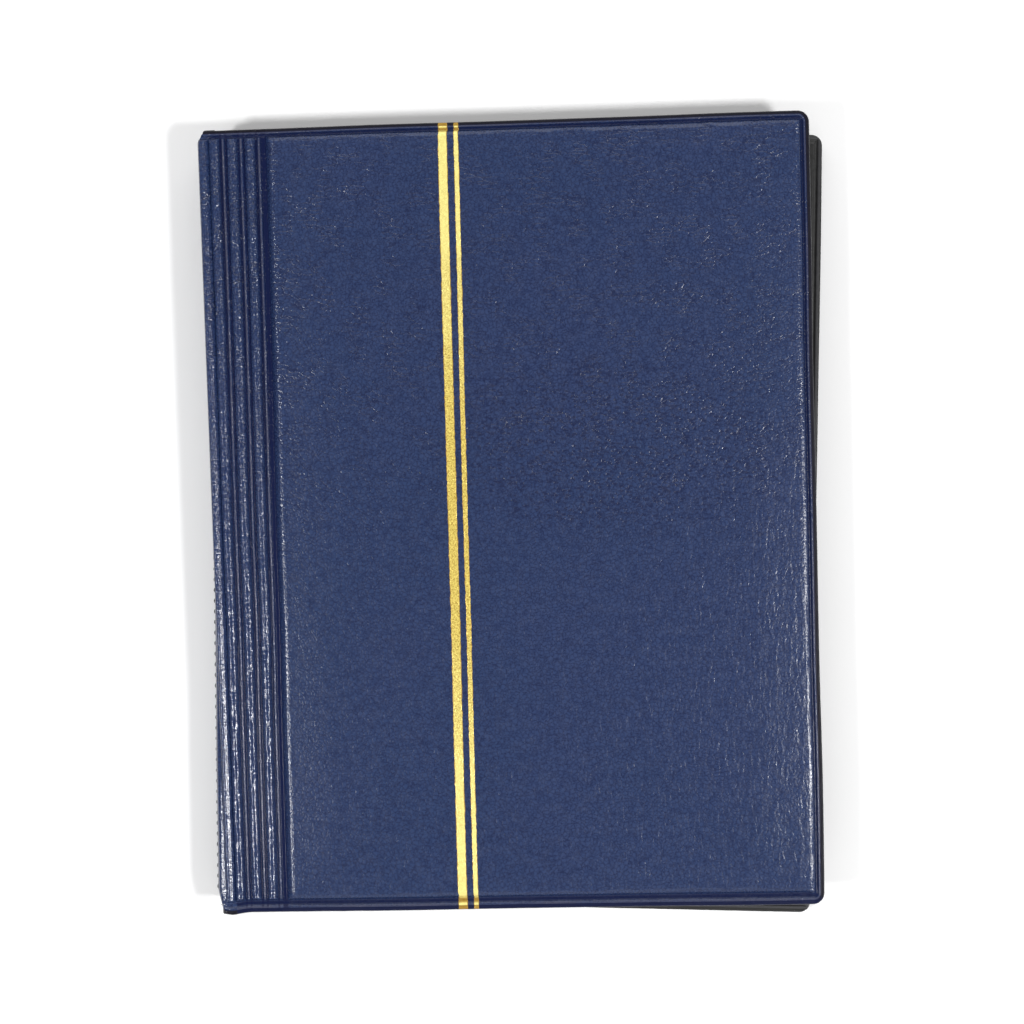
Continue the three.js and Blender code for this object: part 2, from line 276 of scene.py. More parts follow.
class Cover:
    """One cover in its own frame: x across from the spine, y up, depth in from its outer face."""

    def __init__(self, side):
        self.side = side
        self.front = side == "front"
        self.turn = 1 if self.front else -1

    def inset(self, x, y):
        """Distance in from the outline's head, foot and fore-edge, round its two outer corners."""
        right = WIDTH / 2 - x
        end = HEIGHT / 2 - np.abs(y)
        round_corner = CORNER - np.hypot(np.clip(CORNER - right, 0, None), np.clip(CORNER - end, 0, None))
        return np.where((right < CORNER) & (end < CORNER), round_corner, np.minimum(right, end))

    def rim_place(self, x, y):
        """How far in across the rim: 0 at the outline, 1 on the ridge, 2 at the panel, 3 well inside."""
        inset = self.inset(x, y)
        right, end = WIDTH / 2 - x, HEIGHT / 2 - np.abs(y)
        head = np.interp(inset, *zip(*RIM_AT["head"]))
        foot = np.interp(inset, *zip(*RIM_AT["foot"]))
        ends = np.where(y > 0, head, foot)
        fore = np.interp(inset, *zip(*RIM_AT["fore"]))
        return ends + (fore - ends) * ramp(-1.5, 1.5, end - right)

    def depth(self, x, y):
        a = x + WIDTH / 2
        place = self.rim_place(x, y)
        right, end = WIDTH / 2 - x, HEIGHT / 2 - np.abs(y)
        rim = rim_depth(place, np.where(right < end, y, x))
        hinge = hinge_depth(a, y)
        blended = rim + (np.maximum(rim, hinge) - rim) * ramp(1.25, 1.5, place)
        return blended - padding(a, y, self.front)

    def weld(self, x, y):
        """1 on the hard welded lip and in the pressed grooves, 0 on the soft skin; where it is high the skin
        is painted darker, as painted shade in the grooves, the rim's valley and on the lip.
        """
        a = x + WIDTH / 2
        at_foot = ramp(-HEIGHT / 2 + 3, -HEIGHT / 2 + 1, y)
        lip = ramp(0.98, 0.7, self.rim_place(x, y)) * (1 - 0.25 * at_foot)
        # The valley term only paints shade along the rim's valley.
        valley = 0.5 * bump_at(self.rim_place(x, y) - 1.45, 0.35)
        groove = 0.6 * ramp(1.15, 1.6, hinge_depth(a, y))
        return np.maximum(lip, np.maximum(valley, groove))

    def ridge(self, x, y):
        """1 where a highlight is painted: along the rim's ridge and on the small beads between the ribs."""
        place = self.rim_place(x, y)
        rim = bump_at(place - 1.0, 0.2) * (0.75 + 0.35 * noise(x / 9, y / 9, 57))
        beads = np.zeros_like(rim)
        for centre in RIB_CENTRES:
            beads = np.maximum(beads, bump_at(x + WIDTH / 2 - centre - BEAD_OFFSET, 0.42))
        return np.maximum(rim, beads * ramp(1.6, 2.0, place) * (0.8 + 0.3 * noise(x / 4, y / 7, 59)))

    def place(self, x, y, depth):
        """Points in millimetres in the frame of the whole book."""
        c, s = math.cos(self.turn * SKEW), math.sin(self.turn * SKEW)
        z = THICKNESS - depth if self.front else depth
        px = c * x - s * y - self.turn * SHIFT_X
        py = s * x + c * y + self.turn * SHIFT_Y
        return np.stack(np.broadcast_arrays(px, py, z), -1)

    def outline_shift(self, x, y):
        """The fan of the ribs, shallow waves along the soft edges, and a sag at the hinge's foot."""
        fan = (-0.1 - 0.78 * y / 98) * np.clip(1 - (x + WIDTH / 2) / 17.5, 0, 1)
        x = x + self.turn * fan
        sag = 0.75 * ramp(8, 1, x + WIDTH / 2) if self.front else 0.5
        y = y - sag * ramp(-HEIGHT / 2 + 14, -HEIGHT / 2, y)
        near_end = ramp(8, 0, HEIGHT / 2 - np.abs(y))
        near_right = ramp(8, 0, WIDTH / 2 - x)
        wave_y = near_end * np.sign(y) * 0.22 * noise(x / 33, y * 0 + self.turn, 71)
        wave_x = near_right * 0.22 * noise(y / 38, x * 0 + self.turn, 73)
        return x + wave_x, y + wave_y

    def rounded(self, x, y):
        """Draws the square corners of a grid in to the outline's round ones."""
        cx, cy = WIDTH / 2 - CORNER, HEIGHT / 2 - CORNER
        p = np.clip((x - cx) / CORNER, 0, 1)
        q = np.clip((np.abs(y) - cy) / CORNER, 0, 1)
        near = (p > 0) & (q > 0)
        nx = np.where(near, cx + CORNER * p * np.sqrt(1 - q * q / 2), x)
        ny = np.where(near, np.sign(y) * (cy + CORNER * q * np.sqrt(1 - p * p / 2)), y)
        return nx, ny

    def edge_loop(self, x, y):
        """A grid's rim from its foot edge, up the fore-edge if it has one, and back along the head."""
        foot = np.stack([x[0], y[0]], 1)
        head = np.stack([x[-1], y[-1]], 1)[::-1]
        if abs(x[0, -1] - WIDTH / 2) > CORNER:
            return [foot, head]
        fore = np.stack([x[:, -1], y[:, -1]], 1)
        return [np.concatenate([foot[:-1], fore[:-1], head])]

    def outward(self, loop):
        """Unit directions out of the outline at points on it."""
        cx, cy = WIDTH / 2 - CORNER, HEIGHT / 2 - CORNER
        away = np.stack([np.clip(loop[:, 0] - cx, 0, None), np.zeros(len(loop))], 1)
        beyond = np.clip(np.abs(loop[:, 1]) - cy, 0, None)
        away[:, 1] = np.sign(loop[:, 1]) * beyond
        return away / np.maximum(np.linalg.norm(away, axis=1), 1e-9)[:, None]

    def sheet(self, x_lines, y_lines):
        """The outer skin between two grooves, with the rim's side turned under it."""
        patch = Patch()
        flat_x, flat_y = np.meshgrid(x_lines, y_lines)
        x, y = self.rounded(flat_x, flat_y)
        px, py = self.outline_shift(x, y)
        points = self.place(px, py, self.depth(x, y))
        patch.add(points, *x.shape, flip=not self.front, weld=self.weld(x, y), ridge=self.ridge(x, y))
        for loop in self.edge_loop(x, y):
            out = self.outward(loop)
            start = self.depth(loop[:, 0], loop[:, 1])
            lx, ly = self.outline_shift(loop[:, 0], loop[:, 1])
            rings = [self.place(lx, ly, start)]
            for step, level in RIM_SIDE:
                rings.append(self.place(lx + out[:, 0] * step, ly + out[:, 1] * step, level + 0 * lx))
            patch.add(np.stack(rings), len(rings), len(loop), flip=self.front, weld=1.0)
        return patch.merged()


def rib_lines():
    return spaced(-WIDTH / 2 + WRAP_END, -WIDTH / 2 + RIBS_END, RIB_STEP)


def panel_lines():
    start, rise = -WIDTH / 2 + RIBS_END, -WIDTH / 2 + 23
    end, fine = WIDTH / 2, WIDTH / 2 - 6.5
    parts = [spaced(start, rise, 0.2), spaced(rise, fine, PANEL_STEP)[1:], spaced(fine, end, RIM_STEP)[1:]]
    return np.concatenate(parts)


def cover_skins(cover, material):
    body = f"{cover.side}_cover"
    points, faces, finish = cover.sheet(panel_lines(), edge_lines(ROW_STEP))
    replaced = (f"{body}_vinyl",)
    panel = new_piece(f"{body}_padded_skin", points, faces, material, body, replaced, finish)
    points, faces, finish = cover.sheet(rib_lines(), edge_lines(0.4))
    new_piece(f"{body}_ribbed_hinge", points, faces, material, body, (), finish)


# ---------- the skin that wraps the spine ----------

# Control points of the roll from the first groove out over the spine edge: distance from that edge
# and depth.
ROLL = (
    (2.95, 1.58), (2.68, 1.28), (2.15, 0.8), (1.6, 0.56), (1.0, 0.36), (0.5, 0.52), (0.2, 0.92), (0.1, 1.35),
)
# The spine's wall, as depths below the cover's face and how far right of the seam it stands.
WALL = ((1.65, 1.75), (2.1, 1.2), (3.0, 0.75), (4.6, 0.38), (6.6, 0.12), (8.5, 0.0))


def smooth_path(points, count):
    """A Catmull-Rom curve through points of shape (n, rows, 3), resampled to count rows."""
    padded = np.concatenate([2 * points[:1] - points[1:2], points, 2 * points[-1:] - points[-2:-1]])
    result = []
    for t in np.linspace(0, len(points) - 1 - 1e-9, count):
        i = int(t)
        f = t - i
        p0, p1, p2, p3 = padded[i:i + 4]
        result.append(0.5 * (
            2 * p1 + (p2 - p0) * f + (2 * p0 - 5 * p1 + 4 * p2 - p3) * f ** 2
            + (3 * p1 - p0 - 3 * p2 + p3) * f ** 3
        ))
    return np.stack(result)


def wrap_points(cover, y_lines):
    """Rows of points from the cover's first groove, over its rolled edge, to the middle of the wall."""
    end = HEIGHT / 2 - np.abs(y_lines)
    place = cover.rim_place(0 * y_lines, y_lines)
    rim = np.interp(place, *zip(*RIM_PROFILE))
    full = ramp(1.15, 1.6, place)
    corner = 1.5 * ramp(4.5, 0, end) ** 2
    rows = []
    for a, depth in ROLL:
        level = rim + (np.maximum(rim, depth) - rim) * full
        if a > 2.9:
            level = np.maximum(rim, depth) * full + rim * (1 - full)
        swell = 0.05 * fractal(y_lines / 4, y_lines * 0 + a / 2, 81) * bump_at(np.array(a - 1.3), 1.5)
        x = -WIDTH / 2 + a + corner * ramp(2.5, 0, np.array(a))
        px, py = cover.outline_shift(x, y_lines)
        rows.append(cover.place(px, py, level - swell * full))
    pull = 1.2 * ramp(7, 0, end)
    last = rows[-1]
    for depth, inward in WALL:
        share = min(1, depth / 8.5)
        level = np.maximum(rim + 0.1, depth)
        x = WALL_X + inward + pull + 0.1 * noise(y_lines / 22, y_lines * 0 + 3, 83)
        if depth < 2:
            x = np.minimum(x, last[:, 0] + 0.6)
        y_at = last[:, 1] * (1 - share) + y_lines * share
        z = THICKNESS - level if cover.front else level
        rows.append(np.stack([x, y_at, z], -1))
    return np.stack(rows)


def cover_wrap(cover, material):
    y_lines = edge_lines(0.8)
    rows = smooth_path(wrap_points(cover, y_lines), 56)
    place = cover.rim_place(0 * y_lines, y_lines)
    patch = Patch()
    patch.add(rows, *rows.shape[:2], flip=not cover.front, weld=ramp(0.98, 0.7, place)[None, :])
    # The head and foot are turned in by a millimetre or so.
    for column, step in ((0, 1), (-1, -1)):
        edge = rows[:, column]
        centre = np.array([HINGE_X, 0, THICKNESS / 2])
        pull = (centre - edge) * [1, 0, 1]
        pull /= np.linalg.norm(pull, axis=1)[:, None]
        steps = [edge, edge + pull * 0.25 + [0, -step * 0.14, 0], edge + pull * 1.1 + [0, step * 0.1, 0]]
        patch.add(np.stack(steps), 3, len(edge), flip=(column == 0) != cover.front, weld=1.0)
    points, faces, finish = patch.merged()
    side = "upper" if cover.front else "lower"
    replaced = ("spine_vinyl",) if cover.front else ()
    piece = new_piece(f"spine_skin_{side}", points, faces, material, None, replaced, finish)
    if cover.front:
        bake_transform(piece)
    else:
        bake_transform(piece)


# ---------- gold foil ----------

def gold_stripe(cover, name, centre, width, material):
    """Foil pressed into the skin from head to foot, with a slightly broken edge."""
    y_lines = edge_lines(0.35)
    wander = 0.10 * noise(y_lines / 30, y_lines * 0 + centre, 91)
    columns = []
    shares = np.array([-1, -0.9, -0.5, 0, 0.5, 0.9, 1])
    for share in shares:
        ragged = 0.16 * fractal(y_lines / 1.1, y_lines * 0 + share * 9, 93) if abs(share) > 0.6 else 0
        x = -WIDTH / 2 + centre + share * width / 2 + wander + ragged
        x = x + (0.1 * np.sign(share) if abs(share) == 1 else 0)
        lift = 0.035 if abs(share) < 1 else 0.0
        px, py = cover.outline_shift(x, y_lines)
        columns.append(cover.place(px, py, cover.depth(x, y_lines) - lift))
    points = np.stack(columns, 1)
    faces = grid_faces(len(y_lines), points.shape[1])
    flat_x, flat_y = np.meshgrid(-WIDTH / 2 + centre + shares * width / 2, y_lines)
    # The weld value darkens the foil along its two edges, and as painted shade where it crosses the rim.
    finish = {"weld": np.maximum(cover.weld(flat_x, flat_y), np.abs(shares) == 1)}
    points = points.reshape(-1, 3)
    new_piece(f"{name}_foil", points, faces, material, "front_cover", (name,), finish)


# ---------- the toothed seam ----------

def seam(material):
    """A welded band down the middle of the spine with a row of small rounded teeth."""
    count = TOOTH_COUNT * 16 + 1
    end = TOOTH_COUNT * TOOTH_PITCH / 2
    y = np.linspace(-end, end, count)
    tooth = np.clip(np.cos(2 * np.pi * y / TOOTH_PITCH - np.pi), -0.2, 1)
    tooth = ((tooth + 0.2) / 1.2) ** 0.7
    rows = []
    for angle in np.linspace(-90, 90, 13):
        c, s = math.cos(math.radians(angle)), math.sin(math.radians(angle))
        proud = 0.2 + 0.5 * tooth * c ** 0.6 if c > 0.01 else 0 * tooth
        x = WALL_X + 0.1 - proud
        z = THICKNESS / 2 + SEAM_HALF * s * (0.8 + 0.2 * tooth)
        rows.append(np.stack([x, y, z], -1))
    points = np.stack(rows)
    faces = grid_faces(*points.shape[:2], flip=True)
    points = points.reshape(-1, 3)
    new_piece("spine_seam_teeth", points, faces, material, "spine", ("spine_seam",))


# ---------- the spine's board ----------

BOARD_PROFILE = ((-83.05, 0.0), (-82.95, 2.6), (-82.75, 4.9), (-82.55, 5.0), (-82.45, 4.9), (-82.45, 0.0))


def spine_board(material):
    """A strip of board inside the spine, with its edges eased to follow the wall."""
    middle = THICKNESS / 2
    outline = [(x, middle + z) for x, z in BOARD_PROFILE]
    outline += [(x, middle - z) for x, z in reversed(BOARD_PROFILE)]
    outline.append(outline[0])
    y = spaced(-103.5, 103.5, 6)
    rows = [np.stack([x + 0 * y, y, z + 0 * y], -1) for x, z in outline]
    patch = Patch()
    patch.add(np.stack(rows), len(rows), len(y), flip=True)
    for index in (0, -1):
        end = [row[index] for row in rows]
        centre = [np.array([-82.75, y[index], middle])] * len(end)
        patch.add(np.stack([end, centre]), 2, len(end), flip=index == 0)
    points, faces, _ = patch.merged()
    new_piece("spine_stiffener_board", points, faces, material, "spine", ("spine_stiffener",))


# ---------- linings ----------

def lining_depth(x, y):
    """How far the lining lies below the cover's inner face: a rounded welt, a groove, then slack sheet."""
    inset = np.minimum(WIDTH / 2 - x, HEIGHT / 2 - np.abs(y))
    welt = 0.28 * ramp(0.45, 0.0, inset)
    groove = 0.24 * bump_at(inset - 1.75, 0.6)
    return welt + groove + 0.06 * (0.5 + 0.5 * fractal(x / 24, y / 26, 101)) * ramp(2, 9, inset)


# Where a highlight is painted on the lining: a band just inside the welt.
def lining_highlight_band(x, y):
    inset = np.minimum(WIDTH / 2 - x, HEIGHT / 2 - np.abs(y))
    return bump_at(inset - 0.85, 0.5)


def cover_lining(cover, material):
    """The smooth inner sheet of a cover, welded to the skin along the rim."""
    start = HINGE_X + 0.6 + (2.6 if cover.front else 0.0)
    x_lines = np.concatenate([spaced(start, WIDTH / 2 - 4, 1.6), spaced(WIDTH / 2 - 4, WIDTH / 2, 0.16)[1:]])
    y_lines = np.concatenate([
        spaced(-HEIGHT / 2, -HEIGHT / 2 + 4, 0.16), spaced(-HEIGHT / 2 + 4, HEIGHT / 2 - 4, 1.6)[1:-1],
        spaced(HEIGHT / 2 - 4, HEIGHT / 2, 0.16),
    ])
    flat_x, flat_y = np.meshgrid(x_lines, y_lines)
    x, y = cover.rounded(flat_x, flat_y)
    x, y = cover.outline_shift(x, y)
    patch = Patch()
    level = COVER_THICKNESS - lining_depth(x, y)
    patch.add(cover.place(x, y, level), *x.shape, flip=cover.front, weld=lining_highlight_band(x, y))
    patch.add(cover.place(x, y, LINING_DEPTH + 0 * x), *x.shape, flip=not cover.front)
    for loop_x, loop_y in border(x, y):
        top = cover.place(loop_x, loop_y, COVER_THICKNESS - lining_depth(loop_x, loop_y))
        low = cover.place(loop_x, loop_y, LINING_DEPTH + 0 * loop_x)
        patch.add(np.stack([top, low]), 2, len(loop_x), flip=not cover.front)
    points, faces, finish = patch.merged()
    body = f"{cover.side}_cover"
    new_piece(f"{body}_lining_sheet", points, faces, material, body, (f"{body}_lining",), finish)


def border(x, y):
    """The four edges of a grid in one closed loop."""
    loop_x = np.concatenate([x[0, :-1], x[:-1, -1], x[-1, :0:-1], x[::-1, 0]])
    loop_y = np.concatenate([y[0, :-1], y[:-1, -1], y[-1, :0:-1], y[::-1, 0]])
    return [(loop_x, loop_y)]


def fold_strip(front, material):
    """The lining that turns the inside corner between a cover and the spine."""
    y = spaced(-106, 106, 4)
    level = THICKNESS - COVER_THICKNESS if front else COVER_THICKNESS
    sign = 1 if front else -1
    path = ((-76.5, 0.04), (-79.5, 0.06), (-81.6, 0.1), (-82.12, 0.55), (-82.16, 1.6), (-82.16, 2.4))
    rows = [np.stack([0 * y + x, y, 0 * y + level - sign * drop], -1) for x, drop in path]
    points = smooth_path(np.stack(rows), 22)
    piece = new_piece(
        f"inner_fold_{'front' if front else 'back'}", points.reshape(-1, 3),
        grid_faces(*points.shape[:2], flip=not front), material, None,
    )
    thicken(piece, 0.1)
    if front:
        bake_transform(piece)
    else:
        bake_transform(piece)


def thicken(piece, millimetres):
    """Gives a sheet its thickness and applies it to the mesh."""
    modifier = piece.modifiers.new("thickness", "SOLIDIFY")
    modifier.thickness = millimetres * MM
    modifier.offset = -1
    apply_modifiers(piece)


def apply_modifiers(piece):
    shown = piece.evaluated_get(bpy.context.evaluated_depsgraph_get())
    mesh = bpy.data.meshes.new_from_object(shown)
    piece.modifiers.clear()
    piece.data = mesh
    mesh.name = piece.name


# ---------- leaves ----------

def leaf_level(number):
    return THICKNESS / 2 + ((LEAF_COUNT + 1) / 2 - number) * LEAF_PITCH


def plate(x_lines, y_lines, corner, bottom, top, seed, wave=0.0):
    """A thin closed sheet with rounded fore-edge corners and a slight wave."""
    flat_x, flat_y = np.meshgrid(x_lines, y_lines)
    right, half = x_lines[-1], y_lines[-1]
    p = np.clip((flat_x - right + corner) / corner, 0, 1)
    q = np.clip((np.abs(flat_y) - half + corner) / corner, 0, 1)
    near = (p > 0) & (q > 0)
    x = np.where(near, right - corner + corner * p * np.sqrt(1 - q * q / 2), flat_x)
    y = np.where(near, np.sign(flat_y) * (half - corner + corner * q * np.sqrt(1 - p * p / 2)), flat_y)
    lift = wave * fractal(x / 60, y / 70, seed)
    patch = Patch()
    patch.add(np.stack([x, y, top + lift], -1), *x.shape)
    patch.add(np.stack([x, y, bottom + lift], -1), *x.shape, flip=True)
    for loop_x, loop_y in border(x, y):
        loop_lift = wave * fractal(loop_x / 60, loop_y / 70, seed)
        rings = [np.stack([loop_x, loop_y, level + loop_lift], -1) for level in (top, bottom)]
        patch.add(np.stack(rings), 2, len(loop_x), flip=True)
    return patch.merged()


def with_fine_end(start, end, step, fine_length=4.0, fine_step=0.5):
    coarse = spaced(start, end - fine_length, step)
    return np.concatenate([coarse, spaced(end - fine_length, end, fine_step)[1:]])


def leaf_card(number, material):
    level = leaf_level(number)
    y = with_fine_end(0, LEAF_HEIGHT / 2, 5)
    y_lines = np.concatenate([-y[::-1], y[1:]])
    x_lines = with_fine_end(-63.9, LEAF_EDGE_X - 0.15 * (number % 3), 5)
    points, faces, _ = plate(x_lines, y_lines, 3.0, level - 0.2, level + 0.2, 200 + number, 0.05)
    name = f"leaf_{number}"
    new_piece(f"{name}_black_card", points, faces, material, name, (f"{name}_card",))


def leaf_hinge(number, material):
    """Linen from the leaf's root, split to take the card's edge between its two flaps."""
    level = leaf_level(number)
    profile = (
        (LEAF_ROOT_X, 0.1), (-79.4, 0.15), (-66.5, 0.15), (-65.2, 0.3), (-61.2, 0.3), (-61.1, 0.22),
        (-64.3, 0.22),
    )
    ring = list(profile) + [(x, -z) for x, z in reversed(profile)]
    y = spaced(-LEAF_HEIGHT / 2, LEAF_HEIGHT / 2, 3)
    fray = 0.08 * noise(y / 1.7, y * 0 + number, 210)
    rows = []
    for x, z in ring:
        loose = fray if x > -62 else 0 * y
        rows.append(np.stack([x + loose, y, level + z + 0 * y], -1))
    points = np.stack(rows)
    count = points.shape[1]
    # The last row of quads closes on to the first row of points, so the sheet has no open seam.
    faces = [tuple(face % (len(ring) * count)) for face in grid_faces(len(ring) + 1, count, flip=True)]
    faces.append(tuple(i * count for i in reversed(range(len(ring)))))
    faces.append(tuple(i * count + count - 1 for i in range(len(ring))))
    name = f"leaf_{number}"
    points = points.reshape(-1, 3)
    piece = new_piece(f"{name}_linen", points, faces, material, name, (f"{name}_hinge",))


STRIP_COUNT = 8
STRIP_LEFT, STRIP_RIGHT = -60.0, 75.0
STRIP_ROW = 198.0 / STRIP_COUNT
STRIP_OVERLAP = 1.6


def leaf_pockets(number, face, material):
    """Eight clear strips on one side of a leaf, welded along the foot and the two ends."""
    level = leaf_level(number)
    sign = 1 if face == "front" else -1
    points, faces, count = [], [], 0
    left, right = spaced(STRIP_LEFT, STRIP_LEFT + 2, 1), spaced(STRIP_RIGHT - 2, STRIP_RIGHT, 1)
    x = np.concatenate([left, spaced(-52, 67, 7), right])
    for row in range(STRIP_COUNT):
        foot = -99 + row * STRIP_ROW
        along = np.array([0, 0.6, 1.2, 4, 12, 20, STRIP_ROW + STRIP_OVERLAP - 0.5, STRIP_ROW + STRIP_OVERLAP])
        height = np.interp(along, [0, 1.2, 4, STRIP_ROW + STRIP_OVERLAP], [0.235, 0.235, 0.27, 0.40])
        open_x = ramp(0, 6, np.minimum(x - STRIP_LEFT, STRIP_RIGHT - x))
        bow = 0.05 * noise(x / 17, x * 0 + row + 11 * number, 220 + sign)
        gx, gy = np.meshgrid(x, foot + along)
        open_y = ramp(2, 20, along)[:, None]
        gz = height[:, None] + bow[None, :] * open_y * open_x[None, :] + 0 * gx
        low = np.stack([gx, gy, level + sign * (gz - 0.015)], -1)
        top = np.stack([gx, gy, level + sign * (gz + 0.015)], -1)
        rows, columns = gx.shape
        patch = Patch()
        patch.add(top, rows, columns, flip=sign < 0)
        patch.add(low, rows, columns, flip=sign > 0)
        edge = [np.concatenate([g[0, :-1], g[:-1, -1], g[-1, :0:-1], g[::-1, 0]]) for g in (top, low)]
        patch.add(np.stack(edge), 2, len(edge[0]), flip=sign > 0)
        strip_points, strip_faces, _ = patch.merged()
        points.append(strip_points)
        faces.extend([[i + count for i in ring] for ring in strip_faces])
        count += len(strip_points)
    name = f"leaf_{number}"
    points = np.concatenate(points)
    replaced = (f"{name}_{face}_pockets",)
    new_piece(f"{name}_{face}_strips", points, faces, material, name, replaced)


def glassine(number, material):
    level = THICKNESS / 2 + (LEAF_COUNT / 2 - number) * LEAF_PITCH
    y = with_fine_end(0, 101, 5)
    y_lines = np.concatenate([-y[::-1], y[1:]])
    x_lines = with_fine_end(-78, 75 - 0.3 * (number % 2), 5)
    points, faces, _ = plate(x_lines, y_lines, 1.5, level - 0.03, level + 0.03, 230 + number, 0.05)
    name = f"glassine_{number}"
    new_piece(f"{name}_sheet", points, faces, material, name, (name,))


# ---------- materials ----------

class Shader:
    """A short way to write a node material."""

    def __init__(self, name, **values):
        self.material = bpy.data.materials.new(name)
        self.material.use_nodes = True
        self.tree = self.material.node_tree
        self.surface = self.tree.nodes["Principled BSDF"]
        for key, value in values.items():
            self.surface.inputs[key.replace("_", " ").title().replace("Ior", "IOR")].default_value = value
        self.grain = self.node("ShaderNodeAttribute", attribute_name="grain_at").outputs["Vector"]
        self.weld = self.node("ShaderNodeAttribute", attribute_name="weld").outputs["Fac"]
        self.ridge = self.node("ShaderNodeAttribute", attribute_name="ridge").outputs["Fac"]

    def node(self, kind, **settings):
        made = self.tree.nodes.new(kind)
        for key, value in settings.items():
            setattr(made, key, value)
        return made

    def fill(self, socket, value):
        if isinstance(value, bpy.types.NodeSocket):
            self.tree.links.new(value, socket)
        else:
            socket.default_value = value

    def math(self, operation, a, b=0.0, c=0.0, clamp=False):
        made = self.node("ShaderNodeMath", operation=operation, use_clamp=clamp)
        for socket, value in zip(made.inputs, (a, b, c)):
            self.fill(socket, value)
        return made.outputs[0]

    def scaled(self, scale, turn=0.0, vector=None):
        made = self.node("ShaderNodeMapping")
        made.inputs["Scale"].default_value = scale
        made.inputs["Rotation"].default_value = (0, 0, turn)
        self.fill(made.inputs["Vector"], vector or self.grain)
        return made.outputs[0]

    def moved(self, vector, scale, amount):
        """The coordinates pushed about by a noise."""
        push = self.node("ShaderNodeTexNoise")
        push.inputs["Scale"].default_value = scale
        self.fill(push.inputs["Vector"], vector)
        away = self.node("ShaderNodeVectorMath", operation="MULTIPLY_ADD")
        self.fill(away.inputs[0], push.outputs["Color"])
        away.inputs[1].default_value = (amount, amount, amount)
        self.fill(away.inputs[2], vector)
        return away.outputs[0]

    def noise(self, scale, detail=3.0, vector=None, rough=0.5):
        made = self.node("ShaderNodeTexNoise")
        made.inputs["Scale"].default_value = scale
        made.inputs["Detail"].default_value = detail
        made.inputs["Roughness"].default_value = rough
        self.fill(made.inputs["Vector"], vector or self.grain)
        return made.outputs["Fac"]

    def cells(self, scale, vector=None, feature="F1", randomness=1.0):
        made = self.node("ShaderNodeTexVoronoi", feature=feature)
        made.inputs["Scale"].default_value = scale
        made.inputs["Randomness"].default_value = randomness
        self.fill(made.inputs["Vector"], vector or self.grain)
        return made.outputs["Distance"]

    def between(self, value, low, high, to_low=0.0, to_high=1.0, smooth=True):
        made = self.node("ShaderNodeMapRange", interpolation_type="SMOOTHSTEP" if smooth else "LINEAR")
        self.fill(made.inputs["Value"], value)
        for socket, number in zip(list(made.inputs)[1:5], (low, high, to_low, to_high)):
            socket.default_value = number
        return made.outputs[0]

    def mix(self, share, first, second):
        made = self.node("ShaderNodeMix", data_type="RGBA")
        self.fill(made.inputs["Factor"], share)
        colour_sockets = [s for s in made.inputs if s.type == "RGBA"]
        self.fill(colour_sockets[0], first)
        self.fill(colour_sockets[1], second)
        return [s for s in made.outputs if s.type == "RGBA"][0]

    def colour(self, value):
        self.fill(self.surface.inputs["Base Color"], value)

    def roughness(self, value):
        self.fill(self.surface.inputs["Roughness"], value)

    def bump(self, height, millimetres):
        """Raises the surface by this many millimetres where the height is 1."""
        made = self.node("ShaderNodeBump")
        made.inputs["Strength"].default_value = 1.0
        made.inputs["Distance"].default_value = millimetres * MM
        self.fill(made.inputs["Height"], height)
        self.tree.links.new(made.outputs[0], self.surface.inputs["Normal"])

    def axis(self, index):
        made = self.node("ShaderNodeSeparateXYZ")
        self.fill(made.inputs[0], self.grain)
        return made.outputs[index]


